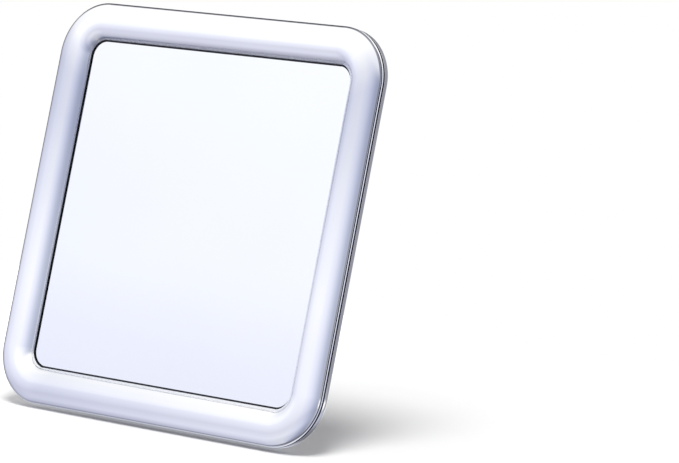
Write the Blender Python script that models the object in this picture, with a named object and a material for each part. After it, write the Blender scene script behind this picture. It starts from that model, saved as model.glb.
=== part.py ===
"""Fogless shower mirror: a chrome bullnose frame round a square mirror, a crowned chrome back cover,
and three clear suction cups that turn on hollow studs. Metres, +Z up. The mirror looks along -Y,
and the cups' sealing lips lie in the wall plane Y = 0, with the origin on the mirror's centre line."""

import math

import bmesh
import bpy
from mathutils import Matrix, Vector

MM = 0.001

# Outline of the mirror
side_length = 203 * MM
corner_radius = 27 * MM
corner_steps = 8

# Depths from the wall plane
cup_height = 8.5 * MM
cover_depth = 7.2 * MM
seam_gap = 0.3 * MM

# Shadow line on both sides of the seam
shadow_height = 0.4 * MM
shadow_depth = 0.6 * MM

# Clearances between pieces
seat_gap = 0.3 * MM
turning_gap = 0.3 * MM
film_gap = 0.2 * MM

# Front frame
band_width = 19 * MM
bullnose_rise = 5 * MM
lip_drop = 0.5 * MM
lip_depth = 0.3 * MM
bead_side = 0.25 * MM
bead_slope = 0.3 * MM
groove_width = 0.95 * MM
groove_depth = 0.8 * MM
bullnose_start = 0.15 * MM
frame_wall = 1.8 * MM
ledge_width = 4.4 * MM
rib_thickness = 1.4 * MM

# Mirror, film and pad
mirror_thickness = 2.0 * MM
film_thickness = 0.25 * MM
mirror_edge_round = 0.3 * MM
pad_inset = 1.5 * MM

# Back cover
cover_wall = 1.5 * MM
cover_side = 2.1 * MM
crown_width = 26 * MM
tongue_height = 1.2 * MM
tongue_thickness = 1.2 * MM
boss_radius = 8.0 * MM
boss_height = 0.6 * MM

# Suction cups: how far the middles lie from the outline's sides, top and bottom
cup_side_margin = 48 * MM
cup_top_margin = 50.5 * MM
cup_bottom_margin = 46.5 * MM
cup_radius = 22.5 * MM
cup_base_radius = 15 * MM
cup_base_side = 2.4 * MM
cup_floor = 4.3 * MM
cup_lip_thickness = 0.7 * MM
cup_land_width = 1.0 * MM
cup_bend_share = 0.55
nub_radius = 1.3 * MM
nub_length = 1.9 * MM
nub_steps = 5
nub_step = 3
nub_root = 0.6 * MM

# Stud in the middle of each cup
stud_flange_radius = 9.7 * MM
stud_flange_thickness = 1.0 * MM
stud_rim_rise = 0.5 * MM
stud_ring_radius = 5.9 * MM
stud_ring_width = 0.7 * MM
stud_ring_rise = 0.5 * MM
stud_bore_radius = 4.0 * MM
stud_bore_step = 0.6 * MM
stud_dish = 1.0 * MM
stud_shank_radius = 6.0 * MM
stud_bore_floor = 1.2 * MM
spigot_radius = 4.0 * MM

# Screw that holds each stud from inside the cover
screw_radius = 1.9 * MM
screw_length = 2.6 * MM
screw_head_radius = 5.4 * MM
screw_head_height = 1.2 * MM
screw_recess_radius = 1.6 * MM
screw_recess_depth = 0.6 * MM

# Fineness of the round forms
bullnose_steps = 9
cavity_steps = 6
crown_steps = 7
bell_steps = 6
cup_turns = 40
stud_turns = 28
screw_turns = 16
cutter_overrun = 1.0 * MM
merge_distance = 0.002 * MM

# Places and planes that several pieces share
half_side = side_length / 2
panel_face = -cup_height
panel_inner_face = panel_face - cover_wall
seam_front = panel_face - cover_depth
frame_base = seam_front - seam_gap
bead_back = frame_base - shadow_height
bead_front = bead_back - bead_side
bead_top = bead_front - bead_slope
bullnose_base = bead_top - groove_width
lip_face = bullnose_base + lip_drop
ledge_face = lip_face + lip_depth
film_face = ledge_face + seat_gap
film_back = film_face + film_thickness
mirror_face = film_back + film_gap
mirror_back = mirror_face + mirror_thickness
boss_face = panel_inner_face - boss_height
screw_seat = boss_face - seat_gap
screw_end = screw_seat - screw_head_height
cup_spread = half_side - cup_side_margin
cup_upper_height = half_side - cup_top_margin
cup_lower_drop = half_side - cup_bottom_margin
rebate_inset = band_width - ledge_width
plate_inset = rebate_inset + seat_gap


def clear_scene():
    for thing in list(bpy.data.objects):
        bpy.data.objects.remove(thing, do_unlink=True)


def material(name, colour, roughness, metallic, transmission=0.0):
    """A Principled material with the part's colour and gloss."""
    made = bpy.data.materials.new(name)
    made.use_nodes = True
    shader = made.node_tree.nodes["Principled BSDF"]
    shader.inputs["Base Color"].default_value = (*colour, 1.0)
    shader.inputs["Roughness"].default_value = roughness
    shader.inputs["Metallic"].default_value = metallic
    shader.inputs["Transmission Weight"].default_value = transmission
    return made


def finish(name, bm, finish_material, origin=Vector()):
    """Close a bmesh into an object whose own origin lies at the given point."""
    bmesh.ops.remove_doubles(bm, verts=bm.verts, dist=merge_distance)
    bmesh.ops.recalc_face_normals(bm, faces=bm.faces)
    bmesh.ops.translate(bm, verts=bm.verts, vec=-origin)
    mesh = bpy.data.meshes.new(name)
    bm.to_mesh(mesh)
    bm.free()
    mesh.shade_smooth()
    mesh.set_sharp_from_angle(angle=math.radians(35))
    thing = bpy.data.objects.new(name, mesh)
    thing.location = origin
    bpy.context.collection.objects.link(thing)
    mesh.materials.append(finish_material)
    return thing


def arc(centre, radii, first, last, steps):
    """Points along an elliptical arc in (inset, depth), with angles in degrees."""
    points = []
    for step in range(steps + 1):
        turn = math.radians(first + (last - first) * step / steps)
        points.append((centre[0] + radii[0] * math.cos(turn), centre[1] + radii[1] * math.sin(turn)))
    return points


def bell(first, last, steps):
    """The curve of a cup's wall: flat at the base, then steeper out to the lip."""
    bend = first[0] + cup_bend_share * (last[0] - first[0])
    points = []
    for step in range(steps + 1):
        share = step / steps
        radius = (1 - share) ** 2 * first[0] + 2 * (1 - share) * share * bend + share ** 2 * last[0]
        points.append((radius, first[1] + share ** 2 * (last[1] - first[1])))
    return points


def swept_ring(chain, closed):
    """Carry a profile of (inset from the outline, Y) round the rounded square.

    A quarter runs from the middle of the top to the middle of the right side: straight, round the
    corner, straight. Mirroring it twice closes the ring. Past the corner's radius an inset is mitred."""
    bm = bmesh.new()
    inset_of = bm.verts.layers.float.new("inset")
    profile = []
    for inset, y in chain:
        vert = bm.verts.new((0, y, half_side - inset))
        vert[inset_of] = inset
        profile.append(vert)
    pairs = list(zip(profile, profile[1:]))
    if closed:
        pairs.append((profile[-1], profile[0]))
    edges = [bm.edges.new(pair) for pair in pairs]
    for step in range(corner_steps + 2):
        swept = bmesh.ops.extrude_edge_only(bm, edges=edges)["geom"]
        edges = [piece for piece in swept if isinstance(piece, bmesh.types.BMEdge)]
        turn = math.radians(90 * min(step, corner_steps) / corner_steps)
        for vert in {vert for edge in edges for vert in edge.verts}:
            radius_left = max(corner_radius - vert[inset_of], 0)
            middle = half_side - max(corner_radius, vert[inset_of])
            vert.co.x = middle + radius_left * math.sin(turn)
            vert.co.z = middle + radius_left * math.cos(turn)
            if step > corner_steps:
                vert.co.z = 0
    for axis in ("X", "Z"):
        everything = bm.verts[:] + bm.edges[:] + bm.faces[:]
        bmesh.ops.mirror(bm, geom=everything, merge_dist=merge_distance, axis=axis)
    bmesh.ops.remove_doubles(bm, verts=bm.verts, dist=merge_distance)
    return bm


def rounded_plate(name, inset, front, back, finish_material, edge=0.0):
    """A flat plate with round corners that follows the outline at an inset, its edges eased."""
    chain = [(inset + edge, front)]
    if edge:
        chain += [(inset, front + edge), (inset, back - edge)]
    chain.append((inset + edge, back))
    bm = swept_ring(chain, closed=False)
    bmesh.ops.holes_fill(bm, edges=[edge for edge in bm.edges if edge.is_boundary], sides=0)
    return finish(name, bm, finish_material)


def turned(name, chain, centre, turns, finish_material):
    """Turn a profile of (radius, Y) about the axis through the centre, parallel to Y."""
    bm = bmesh.new()
    profile = [bm.verts.new((radius + centre.x, y, centre.z)) for radius, y in chain]
    edges = [bm.edges.new(pair) for pair in zip(profile, profile[1:])]
    if chain[0][0] or chain[-1][0]:
        edges.append(bm.edges.new((profile[-1], profile[0])))
    bmesh.ops.spin(
        bm, geom=profile + edges, cent=(centre.x, 0, centre.z), axis=(0, 1, 0), dvec=(0, 0, 0),
        angle=math.radians(360), steps=turns, use_merge=True, use_duplicate=False)
    return finish(name, bm, finish_material, centre)


def cutter(name, radius, near, far, centre, turns):
    """A plain cylinder along Y, used only to cut or to add."""
    bm = bmesh.new()
    middle = (centre.x, (near + far) / 2, centre.z)
    place = Matrix.Translation(middle) @ Matrix.Rotation(math.radians(90), 4, "X")
    bmesh.ops.create_cone(
        bm, cap_ends=True, segments=turns, radius1=radius, radius2=radius, depth=abs(far - near),
        matrix=place)
    mesh = bpy.data.meshes.new(name)
    bm.to_mesh(mesh)
    bm.free()
    tool = bpy.data.objects.new(name, mesh)
    tool.hide_render = True
    tool.display_type = "WIRE"
    bpy.context.collection.objects.link(tool)
    return tool


def combine(thing, tool, operation):
    step = thing.modifiers.new(tool.name, "BOOLEAN")
    step.operation = operation
    step.object = tool
    step.solver = "EXACT"


def build_front_frame(chrome):
    """A hollow bullnose with a sloped bead between two grooves at its base, and a rebate for the mirror."""
    half_band = band_width / 2
    cavity_end = rebate_inset - rib_thickness
    cavity_half = (cavity_end - frame_wall) / 2
    cavity_middle = (cavity_end + frame_wall) / 2
    cavity_rise = bullnose_rise - frame_wall
    cavity_foot = bullnose_base + frame_wall / 2
    chain = [(shadow_depth, frame_base), (shadow_depth, bead_back), (0, bead_back), (0, bead_front)]
    chain += [(groove_depth, bead_top), (groove_depth, bullnose_base), (bullnose_start, bullnose_base)]
    outer_radii = (half_band, bullnose_rise - 2 * bullnose_start)
    chain += arc((half_band, bullnose_base - 2 * bullnose_start), outer_radii, 180, 270, bullnose_steps)
    chain += arc((half_band, lip_face), (half_band, bullnose_rise + lip_drop), 270, 360, bullnose_steps)[1:]
    chain += [(band_width, ledge_face), (rebate_inset, ledge_face)]
    chain += [(rebate_inset, mirror_back), (cavity_end, mirror_back)]
    chain += arc((cavity_middle, cavity_foot), (cavity_half, cavity_rise), 360, 180, cavity_steps)
    chain += [(frame_wall, frame_base)]
    return finish("front_frame", swept_ring(chain, closed=True), chrome)


def build_back_cover(chrome, centres):
    """A shallow shell: side wall, broad crown into a flat panel, a tongue for the frame, and stud bosses."""
    side_start = seam_front + shadow_height
    side_end = side_start + cover_side
    crown = panel_face - side_end
    inner_crown = panel_inner_face - side_end
    tongue_inset = frame_wall + seat_gap
    tongue_back = tongue_inset + tongue_thickness
    inner_width = crown_width - tongue_back
    chain = arc((crown_width, side_end), (crown_width, crown), 90, 180, crown_steps)
    chain += [(0, side_start), (shadow_depth, side_start), (shadow_depth, seam_front)]
    chain += [(tongue_inset, seam_front), (tongue_inset, frame_base - tongue_height)]
    chain += [(tongue_back, frame_base - tongue_height)]
    chain += arc((crown_width, side_end), (inner_width, inner_crown), 180, 90, crown_steps)
    bm = swept_ring(chain, closed=False)
    bmesh.ops.holes_fill(bm, edges=[edge for edge in bm.edges if edge.is_boundary], sides=0)
    cover = finish("back_cover", bm, chrome)
    for number, centre in enumerate(centres):
        boss = cutter(f"boss_{number}", boss_radius, panel_inner_face + cover_wall / 2,
                      boss_face, centre, stud_turns)
        combine(cover, boss, "UNION")
    for number, centre in enumerate(centres):
        hole = cutter(f"hole_{number}", spigot_radius + seat_gap, panel_face + cutter_overrun,
                      boss_face - cutter_overrun, centre, stud_turns)
        combine(cover, hole, "DIFFERENCE")
    return cover


def build_cup(name, centre, clock, vinyl):
    """A clear bell: thick base round the stud, a recess for the stud's flange, and a thin flared lip."""
    base_back = panel_face + turning_gap
    floor = panel_face + cup_floor
    recess = floor - stud_flange_thickness - turning_gap
    bore = stud_shank_radius + turning_gap
    recess_radius = stud_flange_radius + turning_gap
    shoulder = (cup_base_radius, base_back + cup_base_side)
    rim = (cup_radius, -cup_lip_thickness)
    land = (cup_radius - cup_land_width, 0)
    chain = [(bore, base_back), (cup_base_radius, base_back)]
    chain += bell(shoulder, rim, bell_steps)
    chain += [(cup_radius, 0)]
    chain += bell((cup_base_radius, floor), land, bell_steps)[::-1]
    chain += [(recess_radius, floor), (recess_radius, recess), (bore, recess)]
    cup = turned(name, chain, centre, cup_turns, vinyl)
    nub_circle, skin = bell(shoulder, rim, nub_steps)[nub_step]
    turn = math.radians(clock)
    root = centre + Vector((-math.sin(turn), 0, math.cos(turn))) * nub_circle
    nub = cutter(f"{name}_nub", nub_radius, skin + nub_root, skin - nub_length, root, screw_turns)
    nub.parent = cup
    nub.matrix_parent_inverse = cup.matrix_basis.inverted()
    combine(cup, nub, "UNION")
    return cup


def build_stud(name, centre, steel):
    """A turned stud: dished flange, raised ring, blind bore, shank in the cup, and spigot in the cover."""
    flange_back = panel_face + cup_floor - stud_flange_thickness
    flange_front = flange_back + stud_flange_thickness
    dish = flange_front - stud_dish
    ring_outer = stud_ring_radius + stud_ring_width / 2
    ring_inner = stud_ring_radius - stud_ring_width / 2
    ring_face = dish + stud_ring_rise
    bore_face = dish - stud_bore_step
    bore_floor = panel_face + stud_bore_floor
    shoulder = panel_face + seat_gap
    spigot_end = boss_face
    hole_radius = screw_radius + seat_gap
    hole_end = screw_seat + screw_length + seat_gap
    chain = [(0, bore_floor), (stud_bore_radius, bore_floor), (stud_bore_radius, bore_face)]
    chain += [(ring_inner - stud_ring_width, bore_face), (ring_inner, dish), (ring_inner, ring_face)]
    chain += [(ring_outer, ring_face), (ring_outer, dish)]
    chain += arc((ring_outer, flange_front + stud_rim_rise),
                 (stud_flange_radius - stud_rim_rise - ring_outer, stud_dish + stud_rim_rise), 285, 360, 5)
    chain += [(stud_flange_radius, flange_front), (stud_flange_radius, flange_back)]
    chain += [(stud_shank_radius, flange_back), (stud_shank_radius, shoulder), (spigot_radius, shoulder)]
    chain += [(spigot_radius, spigot_end), (hole_radius, spigot_end), (hole_radius, hole_end), (0, hole_end)]
    return turned(name, chain, centre, stud_turns, steel)


def build_screw(name, centre, steel):
    """A pan-head screw driven into the stud from inside the cover."""
    head_round = screw_head_height / 2
    tip = screw_seat + screw_length
    chain = [(0, tip), (screw_radius, tip), (screw_radius, screw_seat)]
    chain += [(screw_head_radius, screw_seat), (screw_head_radius, screw_seat - head_round)]
    chain += [(screw_head_radius - head_round, screw_end), (screw_recess_radius, screw_end)]
    chain += [(0, screw_end + screw_recess_depth)]
    return turned(name, chain, centre, screw_turns, steel)


clear_scene()
chrome = material("chrome plate", (0.86, 0.87, 0.90), 0.08, 1.0)
silvered = material("silvered mirror", (0.95, 0.96, 0.98), 0.02, 1.0)
clear_film = material("clear film", (0.97, 0.98, 1.0), 0.05, 0.0, 1.0)
foam = material("foam", (0.16, 0.16, 0.17), 0.9, 0.0)
vinyl = material("clear vinyl", (0.86, 0.91, 0.98), 0.12, 0.0, 0.95)
steel = material("turned steel", (0.62, 0.63, 0.66), 0.22, 1.0)

# The middle of each cup, and the clock angle of its nub seen from the wall
cup_places = {
    "top_left": (Vector((-cup_spread, 0, cup_upper_height)), 186),
    "top_right": (Vector((cup_spread, 0, cup_upper_height)), 28),
    "bottom": (Vector((0, 0, -cup_lower_drop)), 325),
}
centres = [place for place, clock in cup_places.values()]

build_front_frame(chrome)
rounded_plate("anti_fog_film", plate_inset, film_face, film_back, clear_film)
rounded_plate("mirror_plate", plate_inset, mirror_face, mirror_back, silvered, mirror_edge_round)
rounded_plate("mirror_pad", plate_inset + pad_inset, mirror_back + seat_gap, screw_end - seat_gap, foam)
build_back_cover(chrome, centres)
for place, (centre, clock) in cup_places.items():
    build_cup(f"suction_cup_{place}", centre, clock, vinyl)
    build_stud(f"cup_stud_{place}", centre, steel)
    build_screw(f"stud_screw_{place}", centre, steel)
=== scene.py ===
"""Looks of a fogless shower mirror: a chrome bullnose frame, a silvered mirror, a crowned chrome back and
three clear suction cups on turned studs. In metres, with +Z up. The mirror looks along -Y, and the wall is
the plane Y = 0."""
import math

import bmesh
import bpy
from mathutils import Matrix, Vector


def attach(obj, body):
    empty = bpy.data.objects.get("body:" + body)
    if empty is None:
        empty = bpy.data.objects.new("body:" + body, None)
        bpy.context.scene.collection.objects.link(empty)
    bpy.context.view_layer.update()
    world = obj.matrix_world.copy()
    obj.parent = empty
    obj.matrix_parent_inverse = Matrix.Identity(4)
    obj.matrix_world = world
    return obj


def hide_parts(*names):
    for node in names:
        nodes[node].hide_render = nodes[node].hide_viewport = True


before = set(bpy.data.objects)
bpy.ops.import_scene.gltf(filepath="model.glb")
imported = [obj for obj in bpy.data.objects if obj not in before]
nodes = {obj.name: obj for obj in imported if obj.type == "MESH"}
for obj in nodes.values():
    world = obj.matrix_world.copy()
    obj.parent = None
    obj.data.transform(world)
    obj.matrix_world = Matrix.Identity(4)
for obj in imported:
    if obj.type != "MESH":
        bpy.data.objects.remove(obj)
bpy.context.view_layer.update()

MM = 0.001

# Camera
# A long lens to the right of the mirror and a little below its middle. The mirror leans back in the picture,
# so the camera is rolled, and the floor is tilted instead of the mirror.
lens = 202.57
film_width = 36
camera_place = Vector((1.1999, -1.4302, -0.1076))
view_line = Vector((-0.61547, 0.78570, 0.06222))
picture_right = Vector((0.78055, 0.59668, 0.18632))

picture_up = picture_right.cross(view_line).normalized()
picture_right = view_line.cross(picture_up).normalized()
camera_data = bpy.data.cameras.new("camera")
camera_data.lens = lens
camera_data.sensor_width = film_width
camera = bpy.data.objects.new("camera", camera_data)
axes = Matrix((picture_right, picture_up, -view_line.normalized())).transposed()
camera.matrix_world = Matrix.Translation(camera_place) @ axes.to_4x4()
bpy.context.collection.objects.link(camera)
bpy.context.scene.camera = camera
bpy.context.scene.view_settings.view_transform = "Standard"

# Light tent
# A round white tent, a metre in radius, as chrome is photographed in. Its cloth is white above and at the
# front left, lavender below and blue-grey to the right. Behind it is dark, which draws the outlines, but for
# two white panels that light the back cover.
tent_radius = 1.0
tent_strength = 1.18
tent_segments, tent_rings = 48, 24
white = (1, 1, 1, 1)
height_ramp = [  # by degrees above the level of the mirror's middle
    (-90, (0.58, 0.59, 0.66)), (-52, (0.64, 0.65, 0.73)), (-38, (0.75, 0.76, 0.84)),
    (-22, (0.67, 0.68, 0.77)), (-13, (0.76, 0.77, 0.86)), (-7, (0.81, 0.82, 0.90)),
    (-2, (0.875, 0.885, 0.95)), (1, (0.94, 0.95, 0.99)), (4, (0.95, 0.96, 1.0)),
    (8, (0.975, 0.98, 1.0)), (14, (1.0, 1.0, 1.0)), (90, (1.0, 1.0, 1.0))]
side_ramp = [  # by degrees round from straight ahead of the mirror, to the right
    (-180, (0.30, 0.30, 0.34)), (-112, (0.13, 0.13, 0.16)), (-95, (0.55, 0.555, 0.62)),
    (-80, (0.80, 0.805, 0.87)), (-66, (0.85, 0.855, 0.91)), (-52, (0.95, 0.955, 1.0)),
    (-43, (0.97, 0.975, 1.0)), (-25, (1.0, 1.0, 1.0)), (-10, (1.0, 1.0, 1.0)), (0, (0.93, 0.94, 0.98)),
    (12, (0.86, 0.87, 0.94)), (26, (0.74, 0.76, 0.85)), (46, (0.58, 0.61, 0.71)), (66, (0.49, 0.52, 0.61)),
    (92, (0.48, 0.50, 0.57)), (140, (0.30, 0.30, 0.34)), (180, (0.30, 0.30, 0.34))]
overhead_start, overhead_end = 14, 42
# The values below are parts of a direction of length one: X to the right, Y to the back and Z up.
behind_start, behind_end = 0.10, 0.40
behind_ramp = [  # by X
    (-1.0, (0.07, 0.07, 0.085)), (-0.5, (0.09, 0.09, 0.11)), (-0.2, (0.24, 0.24, 0.28)),
    (0.3, (0.30, 0.30, 0.34)), (1.0, (0.24, 0.24, 0.28))]
overhead_dark_start, overhead_dark_end, overhead_dark_shift = 0.30, 0.60, 0.20
behind_low_start, behind_low_end = -0.18, -0.40
behind_low_ramp = [  # by X
    (-1.0, (0.58, 0.60, 0.68)), (-0.5, (0.58, 0.60, 0.68)), (-0.2, (0.38, 0.39, 0.45)),
    (0, (0.15, 0.15, 0.17)), (0.3, (0.17, 0.17, 0.20)), (0.58, (0.45, 0.47, 0.56)), (1.0, (0.45, 0.47, 0.56))]
white_panels = [  # the middle and the half size in X and Z, and how soft the edge is
    ((0, -0.02), (0.42, 0.28), 0.12), ((0.83, -0.20), (0.17, 0.10), 0.06)]


def put(tree, value, socket):
    """Link another node's output to a socket, or set the socket to a plain value."""
    if isinstance(value, bpy.types.NodeSocket):
        tree.links.new(value, socket)
    else:
        socket.default_value = value


def feed(tree, made, **sockets):
    """Fill a node's sockets by name. A space in the name is written as _."""
    for name, value in sockets.items():
        put(tree, value, made.inputs[name.replace("_", " ")])
    return made


def node(tree, kind, *values, **sockets):
    """Add a node and fill its sockets, in their order or by name."""
    made = tree.nodes.new(kind)
    for socket, value in zip(made.inputs, values):
        put(tree, value, socket)
    return feed(tree, made, **sockets)


def math_node(tree, operation, *values):
    made = node(tree, "ShaderNodeMath", *values)
    made.operation = operation
    return made.outputs[0]


def mixed(tree, factor, first, second, kind="MIX"):
    """Mix two colours by a factor. Each may be a colour or another node's output."""
    made = tree.nodes.new("ShaderNodeMix")
    made.data_type = "RGBA"
    made.blend_type = kind
    return feed(tree, made, Factor=factor, A=first, B=second).outputs["Result"]


def colour_ramp(tree, factor, stops):
    """A colour ramp over the factor's own range, which is that of the stops."""
    low, high = stops[0][0], stops[-1][0]
    share = math_node(tree, "DIVIDE", math_node(tree, "SUBTRACT", factor, low), high - low)
    made = node(tree, "ShaderNodeValToRGB", share)
    elements = made.color_ramp.elements
    while len(elements) < len(stops):
        elements.new(0.5)
    for element, (place, colour) in zip(elements, stops):
        element.position = (place - low) / (high - low)
        element.color = (*colour, 1)
    return made.outputs["Color"]


def soft_step(tree, value, start, end):
    """Rise smoothly from zero at the start to one at the end."""
    made = node(tree, "ShaderNodeMapRange", Value=value, From_Min=start, From_Max=end)
    made.interpolation_type = "SMOOTHSTEP"
    return made.outputs["Result"]


def seen_white(tree):
    """One for rays that show the backdrop: from the camera, or by way of glass or metal."""
    path = tree.nodes.new("ShaderNodeLightPath")
    seen = math_node(tree, "MAXIMUM", path.outputs["Is Camera Ray"], path.outputs["Is Transmission Ray"])
    return math_node(tree, "MAXIMUM", seen, path.outputs["Is Glossy Ray"])


def bare_material(name):
    """A material with an empty node tree, and that tree."""
    made = bpy.data.materials.new(name)
    made.use_nodes = True
    made.node_tree.nodes.clear()
    return made, made.node_tree


def object_from(name, bm):
    """Turn a bmesh into an object in the scene."""
    mesh = bpy.data.meshes.new(name)
    bm.to_mesh(mesh)
    bm.free()
    made = bpy.data.objects.new(name, mesh)
    bpy.context.collection.objects.link(made)
    return made


bm = bmesh.new()
bmesh.ops.create_uvsphere(bm, u_segments=tent_segments, v_segments=tent_rings, radius=tent_radius)
bmesh.ops.reverse_faces(bm, faces=bm.faces)
tent = object_from("light_tent", bm)
tent_cloth, tree = bare_material("tent_cloth")
direction = node(tree, "ShaderNodeVectorMath", tree.nodes.new("ShaderNodeTexCoord").outputs["Object"])
direction.operation = "NORMALIZE"
x, y, z = node(tree, "ShaderNodeSeparateXYZ", direction.outputs[0]).outputs
height = math_node(tree, "DEGREES", math_node(tree, "ARCSINE", z))
ahead = math_node(tree, "MULTIPLY", y, -1.0)
around = math_node(tree, "DEGREES", math_node(tree, "ARCTAN2", x, ahead))
overhead = soft_step(tree, height, overhead_start, overhead_end)
by_side = mixed(tree, overhead, colour_ramp(tree, around, side_ramp), white)
cloth = mixed(tree, 1.0, colour_ramp(tree, height, height_ramp), by_side, "MULTIPLY")
low_down = soft_step(tree, z, behind_low_start, behind_low_end)
behind = mixed(tree, low_down, colour_ramp(tree, x, behind_ramp), colour_ramp(tree, x, behind_low_ramp))
for middle, half_size, blur in white_panels:
    shares = []
    for part, at, half in zip((x, z), middle, half_size):
        away = math_node(tree, "ABSOLUTE", math_node(tree, "SUBTRACT", part, at))
        shares.append(soft_step(tree, away, half + blur, half - blur))
    behind = mixed(tree, math_node(tree, "MULTIPLY", *shares), behind, white)
shift = soft_step(tree, z, overhead_dark_start, overhead_dark_end)
depth = math_node(tree, "ADD", y, math_node(tree, "MULTIPLY", shift, overhead_dark_shift))
cloth = mixed(tree, soft_step(tree, depth, behind_start, behind_end), cloth, behind)
glow = node(tree, "ShaderNodeEmission", Color=cloth, Strength=tent_strength)
node(tree, "ShaderNodeOutputMaterial", Surface=glow.outputs[0])
tent.data.materials.append(tent_cloth)
tent.visible_camera = False
tent.visible_diffuse = False
tent.visible_shadow = False

# Backdrop
# Pure white all round, as the picture's. On matt surfaces it is only a weak fill.
fill_light = 0.35

world = bpy.data.worlds.new("backdrop")
world.use_nodes = True
tree = world.node_tree
lift = math_node(tree, "MULTIPLY", seen_white(tree), 1 - fill_light)
feed(tree, tree.nodes["Background"], Color=white, Strength=math_node(tree, "ADD", lift, fill_light))
bpy.context.scene.world = world

# Floor
# A white sheet under the bottom edge. It slopes as the mirror leans in the picture, is seen only from above,
# and shows nothing but the mirror's soft shadow. It glows a little, and less near the mirror.
floor_slope = math.radians(16)
floor_contact = Vector((0, -11.0 * MM, -101.6 * MM))
floor_reach = 0.9
floor_back = 0.30
floor_white = 0.92
near_glow, far_glow = 0.06, 0.45
glow_middle = (40 * MM, 40 * MM, -80 * MM)
glow_start, glow_end = 80 * MM, 240 * MM

bm = bmesh.new()
across_floor = Vector((floor_reach, 0, 0))
along_floor = Vector((0, math.cos(floor_slope), math.sin(floor_slope)))
front = floor_contact - along_floor * floor_reach
back = floor_contact + along_floor * floor_back
corners = [front - across_floor, front + across_floor, back + across_floor, back - across_floor]
bm.faces.new([bm.verts.new(corner) for corner in corners])
floor = object_from("floor", bm)
sheet, tree = bare_material("floor_sheet")
matt = node(tree, "ShaderNodeBsdfDiffuse", Color=(floor_white, floor_white, floor_white, 1))
place = tree.nodes.new("ShaderNodeTexCoord").outputs["Object"]
away = node(tree, "ShaderNodeVectorMath", place, glow_middle)
away.operation = "DISTANCE"
outer = soft_step(tree, away.outputs["Value"], glow_start, glow_end)
glow = math_node(tree, "ADD", math_node(tree, "MULTIPLY", outer, far_glow - near_glow), near_glow)
glow = math_node(tree, "MULTIPLY", glow, seen_white(tree))
lift = node(tree, "ShaderNodeEmission", Color=white, Strength=glow)
both = node(tree, "ShaderNodeAddShader", matt.outputs[0], lift.outputs[0])
clear = tree.nodes.new("ShaderNodeBsdfTransparent")
underside = tree.nodes.new("ShaderNodeNewGeometry").outputs["Backfacing"]
side_seen = node(tree, "ShaderNodeMixShader", underside, both.outputs[0], clear.outputs[0])
node(tree, "ShaderNodeOutputMaterial", Surface=side_seen.outputs[0])
floor.data.materials.append(sheet)
floor.visible_glossy = False
floor.visible_transmission = False

# Lamp
# One large soft lamp, high up, in front and a little to the right. It throws a short shadow on the floor
# behind the mirror.
lamp_place = Vector((0.22, -0.84, 1.69))
lamp_size = 0.8
lamp_power = 28

lamp_data = bpy.data.lights.new("soft_lamp", "AREA")
lamp_data.shape = "DISK"
lamp_data.size = lamp_size
lamp_data.energy = lamp_power
lamp = bpy.data.objects.new("soft_lamp", lamp_data)
lamp.location = lamp_place
lamp.rotation_mode = "QUATERNION"
lamp.rotation_quaternion = (-lamp_place).to_track_quat("-Z", "Y")
lamp.visible_glossy = False
lamp.visible_camera = False
bpy.context.collection.objects.link(lamp)

# Front frame
# The bullnose ring round the window, moulded in ABS and plated with bright chrome. A bead and a groove run
# round its base, where it meets the cover, and a rebate behind its lip holds the mirror. Its colour is
# darkened and tinted blue at the top of each side and faintly along the bottom, a painted shade that stands
# in for what the chrome mirrors there. The grooves, the seam and the lip's edge carry painted shade too.
side_length = 203 * MM
corner_radius = 27 * MM
half_side = side_length / 2
straight_half = half_side - corner_radius
panel_face = -8.5 * MM
seam_front = -15.7 * MM
frame_base = -16.0 * MM
shadow_height = 0.4 * MM
shadow_depth = 0.6 * MM
bead_side = 0.25 * MM
bead_slope = 0.3 * MM
groove_width = 0.95 * MM
groove_depth = 0.8 * MM
bead_back = frame_base - shadow_height
bead_front = bead_back - bead_side
bead_top = bead_front - bead_slope
bullnose_base = bead_top - groove_width
bullnose_chamfer_in, bullnose_chamfer_up = 0.15 * MM, 0.3 * MM
edge_round = 0.08 * MM
bead_edge_end = 250
bullnose_rise = 5 * MM
crown = bullnose_base - bullnose_rise
band_width = 19 * MM
half_band = band_width / 2
bevel_start = 18.2 * MM
bevel_end = 18.5 * MM
bevel_face = bullnose_base + 0.1 * MM
ledge_face = bullnose_base + 0.95 * MM
lip_edge = 19.1 * MM
lip_edge_thickness = 0.1 * MM
inner_turn = 72
inner_rise = (bevel_face - crown) / (1 - math.cos(math.radians(inner_turn)))
inner_half = (bevel_start - half_band) / math.sin(math.radians(inner_turn))
rebate_inset = band_width - 4.4 * MM
mirror_back = -14.35 * MM
frame_wall = 1.8 * MM
rib_thickness = 1.4 * MM
cavity_end = rebate_inset - rib_thickness
cavity_half = (cavity_end - frame_wall) / 2
cavity_face = bullnose_base + frame_wall / 2
corner_fineness = 40
arc_fineness = 24
cavity_fineness = 12
edge_fineness = 4
merge_distance = 0.002 * MM
chrome_tones = (0.90, 0.905, 0.92, 1), (0.93, 0.935, 0.945, 1)
# Painted shade: the dark colour and the added roughness put on the grooves, the seam, the bead's top and the
# lip's edge.
painted_shade_tone = (0.03, 0.03, 0.035, 1)
dull_haze = 0.4
groove_painted_shade = 0.94
facing_up = 0.45
lip_shade = 0.55
lip_shade_power = 3
# Painted shade round the ring, standing in for reflections: the share of the colour kept at each angle. The
# spares below say how much of the darkening the green and the blue are spared, which tints it blue.
painted_shade_ramp = [  # by degrees round the ring, from the lower right corner up the right side
    (-180, 0.94), (-173, 1.0), (-154, 0.95), (-135, 0.86), (-118, 0.755), (-107, 0.675), (-98, 0.63),
    (-94, 0.74), (-90, 0.93), (-84, 1.0), (-50, 0.99), (-10, 0.97), (1, 1.0), (5, 0.75), (9, 0.64),
    (19, 0.66), (30, 0.755), (39, 0.80), (51, 0.88), (72, 0.985), (88, 1.0), (98, 0.82), (162, 0.94),
    (180, 0.94)]
painted_shade_spares = (0, 0.05, 0.3)


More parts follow.
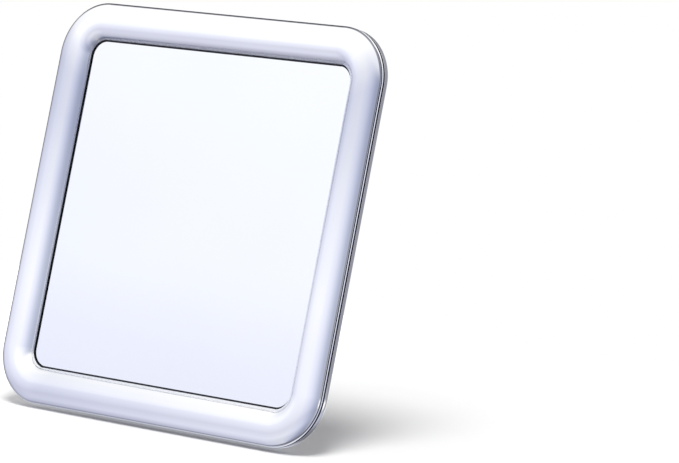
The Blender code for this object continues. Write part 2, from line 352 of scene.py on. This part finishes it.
def arc(centre, radii, first, last, steps):
    """Points along an elliptical arc in (inset, Y), with angles in degrees."""
    points = []
    for step in range(steps + 1):
        turn = math.radians(first + (last - first) * step / steps)
        points.append((centre[0] + radii[0] * math.cos(turn), centre[1] + radii[1] * math.sin(turn)))
    return points


def only(kind, geometry):
    return [element for element in geometry if isinstance(element, kind)]


def swept_ring(chain, closed):
    """Carry a profile of (inset from the outline, Y) round the rounded square: a quarter, mirrored twice."""
    bm = bmesh.new()
    profile = [bm.verts.new((0, y, half_side - inset)) for inset, y in chain]
    pairs = list(zip(profile, profile[1:]))
    if closed:
        pairs.append((profile[-1], profile[0]))

    def run(along, moving):
        swept = bmesh.ops.extrude_edge_only(bm, edges=moving)["geom"]
        bmesh.ops.translate(bm, verts=only(bmesh.types.BMVert, swept), vec=along)
        return only(bmesh.types.BMEdge, swept)

    edges = run(Vector((straight_half, 0, 0)), [bm.edges.new(pair) for pair in pairs])
    moving = list(dict.fromkeys(vert for edge in edges for vert in edge.verts)) + edges
    corner = bmesh.ops.spin(
        bm, geom=moving, cent=(straight_half, 0, straight_half), axis=(0, 1, 0), dvec=(0, 0, 0),
        angle=math.radians(90), steps=corner_fineness, use_duplicate=False)
    run(Vector((0, 0, -straight_half)), only(bmesh.types.BMEdge, corner["geom_last"]))
    for axis in ("X", "Z"):
        everything = bm.verts[:] + bm.edges[:] + bm.faces[:]
        bmesh.ops.mirror(bm, geom=everything, merge_dist=merge_distance, axis=axis)
    return bm


def piece_from(name, bm, finish, sharp_angle=32):
    """Close a bmesh into a smooth-shaded piece in its place."""
    bmesh.ops.remove_doubles(bm, verts=bm.verts, dist=merge_distance)
    bmesh.ops.recalc_face_normals(bm, faces=bm.faces)
    piece = object_from(name, bm)
    piece.data.shade_smooth()
    piece.data.set_sharp_from_angle(angle=math.radians(sharp_angle))
    piece.data.materials.append(finish)
    return piece


def mark_faces(piece, name, rule):
    """Write a value on each face, by a rule on its inset, its Y and its normal."""
    mark = piece.data.attributes.new(name, "FLOAT", "FACE")
    for face, value in zip(piece.data.polygons, mark.data):
        past = Vector([max(abs(place) - straight_half, 0) for place in face.center.xz])
        value.value = rule(corner_radius - past.length, face.center.y, face.normal)


def on_bead(inset, y, normal):
    """The bright bead, left out of the ring's painted shade. Where it faces up, it takes the grooves' painted
    shade.
    """
    return float(bead_top < y < bead_back and inset < groove_depth and normal.z < facing_up)


def frame_painted_shade(inset, y, normal):
    """Painted shade: dark in the groove and the seam, black on the lip's edge, and shaded where the band
    slopes down.
    """
    if inset < groove_depth + merge_distance and y > bullnose_base - merge_distance:
        outside = inset < edge_round or bead_top < y < bead_back
        return 0.0 if outside and normal.z < facing_up else groove_painted_shade
    if inset > bevel_end or y > ledge_face - merge_distance and inset > rebate_inset:
        return 1.0
    steep = min(max((inset - half_band) / (bevel_start - half_band), 0), 1)
    return lip_shade * max(-normal.z, 0) * steep ** lip_shade_power


def new_finish(name, **sockets):
    """A material with its shader's sockets filled by name, and the Object coordinates for its patterns."""
    finish = bpy.data.materials.new(name)
    finish.use_nodes = True
    tree = finish.node_tree
    shader = feed(tree, tree.nodes["Principled BSDF"], **sockets)
    return finish, tree, shader, tree.nodes.new("ShaderNodeTexCoord").outputs["Object"]


def noise(tree, place, scale, detail, roughness=0.5):
    made = node(tree, "ShaderNodeTexNoise", Vector=place, Scale=scale, Detail=detail, Roughness=roughness)
    return made.outputs[0]


def spread(tree, pattern, low, high, from_low=0.3, from_high=0.7):
    """Map a pattern's middle range on to a range of its own."""
    made = node(tree, "ShaderNodeMapRange", Value=pattern, From_Min=from_low, From_Max=from_high,
                To_Min=low, To_Max=high)
    return made.outputs[0]


def mottled(tree, pattern, tones):
    """Two tones, mixed by a pattern."""
    return mixed(tree, spread(tree, pattern, 0, 1), *tones)


def raised(tree, pattern, strength, distance):
    """A surface's normal, raised by a pattern."""
    return node(tree, "ShaderNodeBump", Strength=strength, Distance=distance, Height=pattern).outputs[0]


def face_mark(tree, name):
    mark = tree.nodes.new("ShaderNodeAttribute")
    mark.attribute_name = name
    return mark.outputs["Fac"]


def chrome_plating(name):
    """Bright chrome on moulded plastic: long shallow ripples, a wiped haze, and painted shade, dark and
    rougher, on the marked faces such as the grooves.
    """
    finish, tree, shader, place = new_finish(name, Metallic=1.0)
    shade_share = face_mark(tree, "painted_shade")
    tone = mottled(tree, noise(tree, place, scale=18, detail=2), chrome_tones)
    haze = spread(tree, noise(tree, place, scale=35, detail=5, roughness=0.6), low=0.03, high=0.075)
    ripple = raised(tree, noise(tree, place, scale=14, detail=1), strength=0.35, distance=0.22 * MM)
    feed(tree, shader, Base_Color=mixed(tree, shade_share, tone, painted_shade_tone), Normal=ripple,
         Roughness=math_node(tree, "ADD", haze, math_node(tree, "MULTIPLY", shade_share, dull_haze)))
    return finish


# The ring's painted shade: its colour is darkened and tinted by the angle round the ring, everywhere but on
# the bead.
ring_chrome = chrome_plating("ring_chrome")
tree = ring_chrome.node_tree
shader = tree.nodes["Principled BSDF"]
unshaded_colour = shader.inputs["Base Color"].links[0].from_socket
place = tree.nodes.new("ShaderNodeTexCoord").outputs["Object"]
x, y, z = node(tree, "ShaderNodeSeparateXYZ", place).outputs
rising = math_node(tree, "SUBTRACT", z, x)
falling = math_node(tree, "MULTIPLY", math_node(tree, "ADD", x, z), -1.0)
around = math_node(tree, "DEGREES", math_node(tree, "ARCTAN2", falling, rising))
painted_shade_tints = [(angle, [share + spare * (1 - share) for spare in painted_shade_spares])
               for angle, share in painted_shade_ramp]
painted_shade_share = math_node(tree, "SUBTRACT", 1.0, face_mark(tree, "bead"))
feed(tree, shader, Base_Color=mixed(tree, painted_shade_share, unshaded_colour, colour_ramp(tree, around, painted_shade_tints), "MULTIPLY"))

chain = [(shadow_depth, frame_base), (shadow_depth, bead_back)]
chain += arc((edge_round, bead_back - edge_round), (edge_round, edge_round), 90, 180, edge_fineness)
chain += arc((edge_round, bead_front + edge_round), (edge_round, edge_round),
             180, bead_edge_end, edge_fineness)
chain += [(groove_depth, bead_top), (groove_depth, bullnose_base), (bullnose_chamfer_in, bullnose_base)]
chain += arc((half_band, bullnose_base - bullnose_chamfer_up),
             (half_band, bullnose_rise - bullnose_chamfer_up), 180, 270, arc_fineness)
chain += arc((half_band, crown + inner_rise), (inner_half, inner_rise),
             270, 270 + inner_turn, arc_fineness)[1:]
chain += [(bevel_end, ledge_face - lip_edge_thickness), (lip_edge, ledge_face)]
chain += [(rebate_inset, ledge_face), (rebate_inset, mirror_back), (cavity_end, mirror_back)]
chain += arc((cavity_end - cavity_half, cavity_face), (cavity_half, bullnose_rise - frame_wall),
             360, 180, cavity_fineness)
chain += [(frame_wall, frame_base)]
front_frame = piece_from("chrome_frame", swept_ring(chain, closed=True), ring_chrome)
mark_faces(front_frame, "painted_shade", frame_painted_shade)
mark_faces(front_frame, "bead", on_bead)
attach(front_frame, "mirror_body")
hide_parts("front_frame")

# Mirror
# A 2 mm silvered mirror behind the lip, held by the foam pad at its back. Its clear anti-fog film is
# laminated on its face. The pad lies out of sight inside the cover.
silver_tones = (0.86, 0.868, 0.89, 1), (0.88, 0.885, 0.90, 1)
film_colour = (0.985, 0.99, 1.0, 1)
foam_tones = (0.012, 0.012, 0.013, 1), (0.035, 0.035, 0.037, 1)


def dress(name, finish):
    """Give a carried-over piece its finish."""
    thing = nodes[name]
    if not thing.material_slots:
        thing.data.materials.append(finish)
    for slot in thing.material_slots:
        slot.material = finish


silver, tree, shader, place = new_finish("silvered_glass", Metallic=1.0)
feed(tree, shader,
     Base_Color=mottled(tree, noise(tree, place, scale=9, detail=2), silver_tones),
     Roughness=spread(tree, noise(tree, place, scale=26, detail=4), low=0.008, high=0.03),
     Normal=raised(tree, noise(tree, place, scale=11, detail=1), strength=0.08, distance=0.06 * MM))
dress("mirror_plate", silver)

film, tree, shader, place = new_finish(
    "anti_fog_film", Base_Color=film_colour, Transmission_Weight=1.0, IOR=1.12)
feed(tree, shader, Roughness=spread(tree, noise(tree, place, scale=30, detail=4), low=0.0, high=0.02))
dress("anti_fog_film", film)

foam, tree, shader, place = new_finish("closed_cell_foam", Roughness=0.92)
cells = node(tree, "ShaderNodeTexVoronoi", Vector=place, Scale=900.0).outputs["Distance"]
feed(tree, shader, Base_Color=mixed(tree, cells, *foam_tones),
     Normal=raised(tree, cells, strength=0.6, distance=0.3 * MM))
dress("mirror_pad", foam)

# Back cover
# A shallow shell moulded in ABS and chrome plated like the frame: a short side wall, a broad crown that rolls
# into the flat panel, a tongue that locates in the frame, and a boss inside for each stud.
cover_wall = 1.5 * MM
cover_side = 2.1 * MM
crown_width = 26 * MM
tongue_height = 1.2 * MM
tongue_thickness = 1.2 * MM
seat_gap = 0.3 * MM
boss_radius = 8.0 * MM
boss_height = 0.6 * MM
boss_fineness = 64
spigot_radius = 4.0 * MM
cover_overrun = 1.0 * MM
panel_inner_face = panel_face - cover_wall
boss_face = panel_inner_face - boss_height
side_start = seam_front + shadow_height
side_end = side_start + cover_side
tongue_inset = frame_wall + seat_gap
tongue_back = tongue_inset + tongue_thickness
tongue_end = frame_base - tongue_height
cup_places = {  # the middle of each cup, and the degrees to which its nub points
    "top_left": (Vector((-53.5 * MM, 0, 51 * MM)), 186),
    "top_right": (Vector((53.5 * MM, 0, 51 * MM)), 28),
    "bottom": (Vector((0, 0, -55 * MM)), 325),
}


def cylinder(name, radius, near, far, centre, turns):
    """A cylinder along Y that joins or cuts another piece and is then thrown away."""
    bm = bmesh.new()
    along_y = Matrix.Rotation(math.radians(90), 4, "X")
    place = Matrix.Translation((centre.x, (near + far) / 2, centre.z)) @ along_y
    bmesh.ops.create_cone(
        bm, cap_ends=True, segments=turns, radius1=radius, radius2=radius, depth=abs(far - near),
        matrix=place)
    return object_from(name, bm)


def combine(piece, tools, operation):
    """Join tools to a piece, or cut them out of it, for good."""
    for tool in tools:
        step = piece.modifiers.new(tool.name, "BOOLEAN")
        step.operation = operation
        step.object = tool
        step.solver = "EXACT"
    evaluated = piece.evaluated_get(bpy.context.evaluated_depsgraph_get())
    result = bpy.data.meshes.new_from_object(evaluated)
    piece.modifiers.clear()
    piece.data = result
    for tool in tools:
        bpy.data.objects.remove(tool, do_unlink=True)


chain = arc((crown_width, side_end), (crown_width, panel_face - side_end), 90, 180, arc_fineness)
chain += arc((edge_round, side_start + edge_round), (edge_round, edge_round), 180, 270, edge_fineness)
chain += [(shadow_depth, side_start), (shadow_depth, seam_front)]
chain += [(tongue_inset, seam_front), (tongue_inset, tongue_end), (tongue_back, tongue_end)]
chain += arc((crown_width, side_end), (crown_width - tongue_back, panel_inner_face - side_end),
             180, 90, arc_fineness)
bm = swept_ring(chain, closed=False)
bmesh.ops.remove_doubles(bm, verts=bm.verts, dist=merge_distance)
bmesh.ops.holes_fill(bm, edges=[edge for edge in bm.edges if edge.is_boundary], sides=0)
back_cover = piece_from("chrome_back", bm, chrome_plating("back_chrome"))
centres = [centre for centre, clock in cup_places.values()]
boss_root = panel_inner_face + cover_wall / 2
hole_radius = spigot_radius + seat_gap
hole_start, hole_end = panel_face + cover_overrun, boss_face - cover_overrun
combine(back_cover, [cylinder("boss", boss_radius, boss_root, boss_face, centre, boss_fineness)
                     for centre in centres], "UNION")
combine(back_cover, [cylinder("hole", hole_radius, hole_start, hole_end, centre, boss_fineness)
                     for centre in centres], "DIFFERENCE")
# Painted shade on the cover's step at the seam.
mark_faces(back_cover, "painted_shade", lambda inset, y, normal: groove_painted_shade * (y < side_start))
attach(back_cover, "mirror_body")
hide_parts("back_cover")

# Suction cups
# Clear soft vinyl, moulded in one shot: a thick base with a flat floor round the stud, a bell that thins out
# to the sealing lip, and a small gate nub at its back. Each turns on its own stud.
cup_radius = 22.5 * MM
cup_base_radius = 15 * MM
cup_base_side = 2.4 * MM
cup_floor = 4.3 * MM
cup_lip_thickness = 0.7 * MM
cup_land_width = 1.0 * MM
cup_bend_share = 0.55
turning_gap = 0.3 * MM
stud_shank_radius = 6.0 * MM
stud_flange_radius = 9.7 * MM
stud_flange_thickness = 1.0 * MM
nub_radius = 1.3 * MM
nub_length = 1.9 * MM
nub_root = 0.6 * MM
nub_place_share = 0.6
nub_fineness = 32
bell_fineness = 22
cup_fineness = 144
vinyl_colour = (0.95, 0.97, 1.0, 1)


def bell_point(first, last, share):
    """A point on the curve of a cup's wall: flat at the base, then steeper out to the lip."""
    bend = first[0] + cup_bend_share * (last[0] - first[0])
    radius = (1 - share) ** 2 * first[0] + 2 * (1 - share) * share * bend + share ** 2 * last[0]
    return radius, first[1] + share ** 2 * (last[1] - first[1])


def bell(first, last):
    return [bell_point(first, last, step / bell_fineness) for step in range(bell_fineness + 1)]


def turned(name, chain, centre, finish, turns, sharp_angle=32):
    """Turn a profile of (radius, Y) about the line along Y through the centre. It is closed off the axis."""
    bm = bmesh.new()
    profile = [bm.verts.new((radius + centre.x, y, centre.z)) for radius, y in chain]
    edges = [bm.edges.new(pair) for pair in zip(profile, profile[1:])]
    if chain[0][0] or chain[-1][0]:
        edges.append(bm.edges.new((profile[-1], profile[0])))
    bmesh.ops.spin(
        bm, geom=profile + edges, cent=(centre.x, 0, centre.z), axis=(0, 1, 0), dvec=(0, 0, 0),
        angle=math.radians(360), steps=turns, use_merge=True, use_duplicate=False)
    return piece_from(name, bm, finish, sharp_angle)


vinyl, tree, shader, place = new_finish(
    "clear_vinyl", Base_Color=vinyl_colour, Transmission_Weight=1.0, IOR=1.5)
feed(tree, shader,
     Roughness=spread(tree, noise(tree, place, scale=60, detail=4), low=0.01, high=0.06),
     Normal=raised(tree, noise(tree, place, scale=90, detail=2), strength=0.2, distance=0.2 * MM))

base_back = panel_face + turning_gap
floor_face = panel_face + cup_floor
recess = floor_face - stud_flange_thickness - turning_gap
bore = stud_shank_radius + turning_gap
recess_radius = stud_flange_radius + turning_gap
shoulder = (cup_base_radius, base_back + cup_base_side)
rim = (cup_radius, -cup_lip_thickness)
land = (cup_radius - cup_land_width, 0)
nub_circle, skin = bell_point(shoulder, rim, nub_place_share)
chain = [(bore, base_back), (cup_base_radius, base_back)] + bell(shoulder, rim) + [(cup_radius, 0)]
chain += bell((cup_base_radius, floor_face), land)[::-1]
chain += [(recess_radius, floor_face), (recess_radius, recess), (bore, recess)]
for place_name, (centre, clock) in cup_places.items():
    cup = turned(f"vinyl_cup_{place_name}", chain, centre, vinyl, cup_fineness)
    turn = math.radians(clock)
    root = centre + Vector((-math.sin(turn), 0, math.cos(turn))) * nub_circle
    nub = cylinder("nub", nub_radius, skin + nub_root, skin - nub_length, root, nub_fineness)
    combine(cup, [nub], "UNION")
    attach(cup, f"cup_{place_name}")
    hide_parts(f"suction_cup_{place_name}")

# Studs
# Turned and plated metal, screwed to the cover's bosses: a dished flange that holds the cup, a raised ring,
# and a blind bore. Fine rings are left by the lathe.
stud_rim_rise = 0.5 * MM
stud_ring_radius = 5.9 * MM
stud_ring_width = 0.7 * MM
stud_ring_rise = 0.5 * MM
stud_bore_radius = 4.0 * MM
stud_bore_step = 0.6 * MM
stud_bore_floor = 1.2 * MM
stud_dish = 1.0 * MM
stud_dish_start = 285
stud_dish_fineness = 16
stud_ring_fineness = 10
stud_fineness = 96
stud_sharp_angle = 25
screw_hole_radius = 2.2 * MM
screw_hole_end = -8.0 * MM
stud_tones = (0.40, 0.41, 0.45, 1), (0.58, 0.59, 0.63, 1)


def turned_metal(name, centre):
    """Plated metal with the lathe's fine rings about the stud's own axis."""
    finish, tree, shader, place = new_finish(name, Metallic=1.0)
    centred = node(tree, "ShaderNodeMapping", Vector=place, Location=(-centre.x, 0, -centre.z))
    rings = node(tree, "ShaderNodeTexWave", Vector=centred.outputs[0], Scale=1800.0, Distortion=0.6)
    rings.wave_type = "RINGS"
    rings.rings_direction = "Y"
    feed(tree, shader,
         Base_Color=mottled(tree, noise(tree, place, scale=160, detail=4), stud_tones),
         Roughness=spread(tree, noise(tree, place, scale=300, detail=3), low=0.16, high=0.30),
         Normal=raised(tree, rings.outputs[0], strength=0.25, distance=0.03 * MM))
    return finish


flange_front = floor_face
flange_back = flange_front - stud_flange_thickness
dish = flange_front - stud_dish
half_ring = stud_ring_width / 2
ring_outer = stud_ring_radius + half_ring
ring_inner = stud_ring_radius - half_ring
ring_middle = dish + stud_ring_rise - half_ring
bore_bottom = panel_face + stud_bore_floor
bore_face = dish - stud_bore_step
shoulder_face = panel_face + seat_gap
dish_radii = (stud_flange_radius - stud_rim_rise - ring_outer, stud_dish + stud_rim_rise)
chain = [(0, bore_bottom), (stud_bore_radius, bore_bottom), (stud_bore_radius, bore_face)]
chain += [(ring_inner - stud_ring_width, bore_face), (ring_inner, dish)]
chain += arc((stud_ring_radius, ring_middle), (half_ring, half_ring), 180, 0, stud_ring_fineness)
chain += [(ring_outer, dish)]
chain += arc((ring_outer, flange_front + stud_rim_rise), dish_radii, stud_dish_start, 360, stud_dish_fineness)
chain += [(stud_flange_radius, flange_front), (stud_flange_radius, flange_back)]
chain += [(stud_shank_radius, flange_back), (stud_shank_radius, shoulder_face)]
chain += [(spigot_radius, shoulder_face), (spigot_radius, boss_face)]
chain += [(screw_hole_radius, boss_face), (screw_hole_radius, screw_hole_end), (0, screw_hole_end)]
for place_name, (centre, clock) in cup_places.items():
    metal = turned_metal(f"turned_{place_name}", centre)
    stud = turned(f"turned_stud_{place_name}", chain, centre, metal, stud_fineness, stud_sharp_angle)
    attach(stud, "mirror_body")
    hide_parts(f"cup_stud_{place_name}")

# Stud screws
# Zinc-plated pan-head screws inside the cover, one in the back of each stud.
zinc_tones = (0.50, 0.50, 0.49, 1), (0.66, 0.66, 0.66, 1)

zinc, tree, shader, place = new_finish("zinc_plate", Metallic=1.0)
feed(tree, shader,
     Base_Color=mottled(tree, noise(tree, place, scale=500, detail=4), zinc_tones),
     Roughness=spread(tree, noise(tree, place, scale=700, detail=3), low=0.28, high=0.45))
for place_name in cup_places:
    dress(f"stud_screw_{place_name}", zinc)
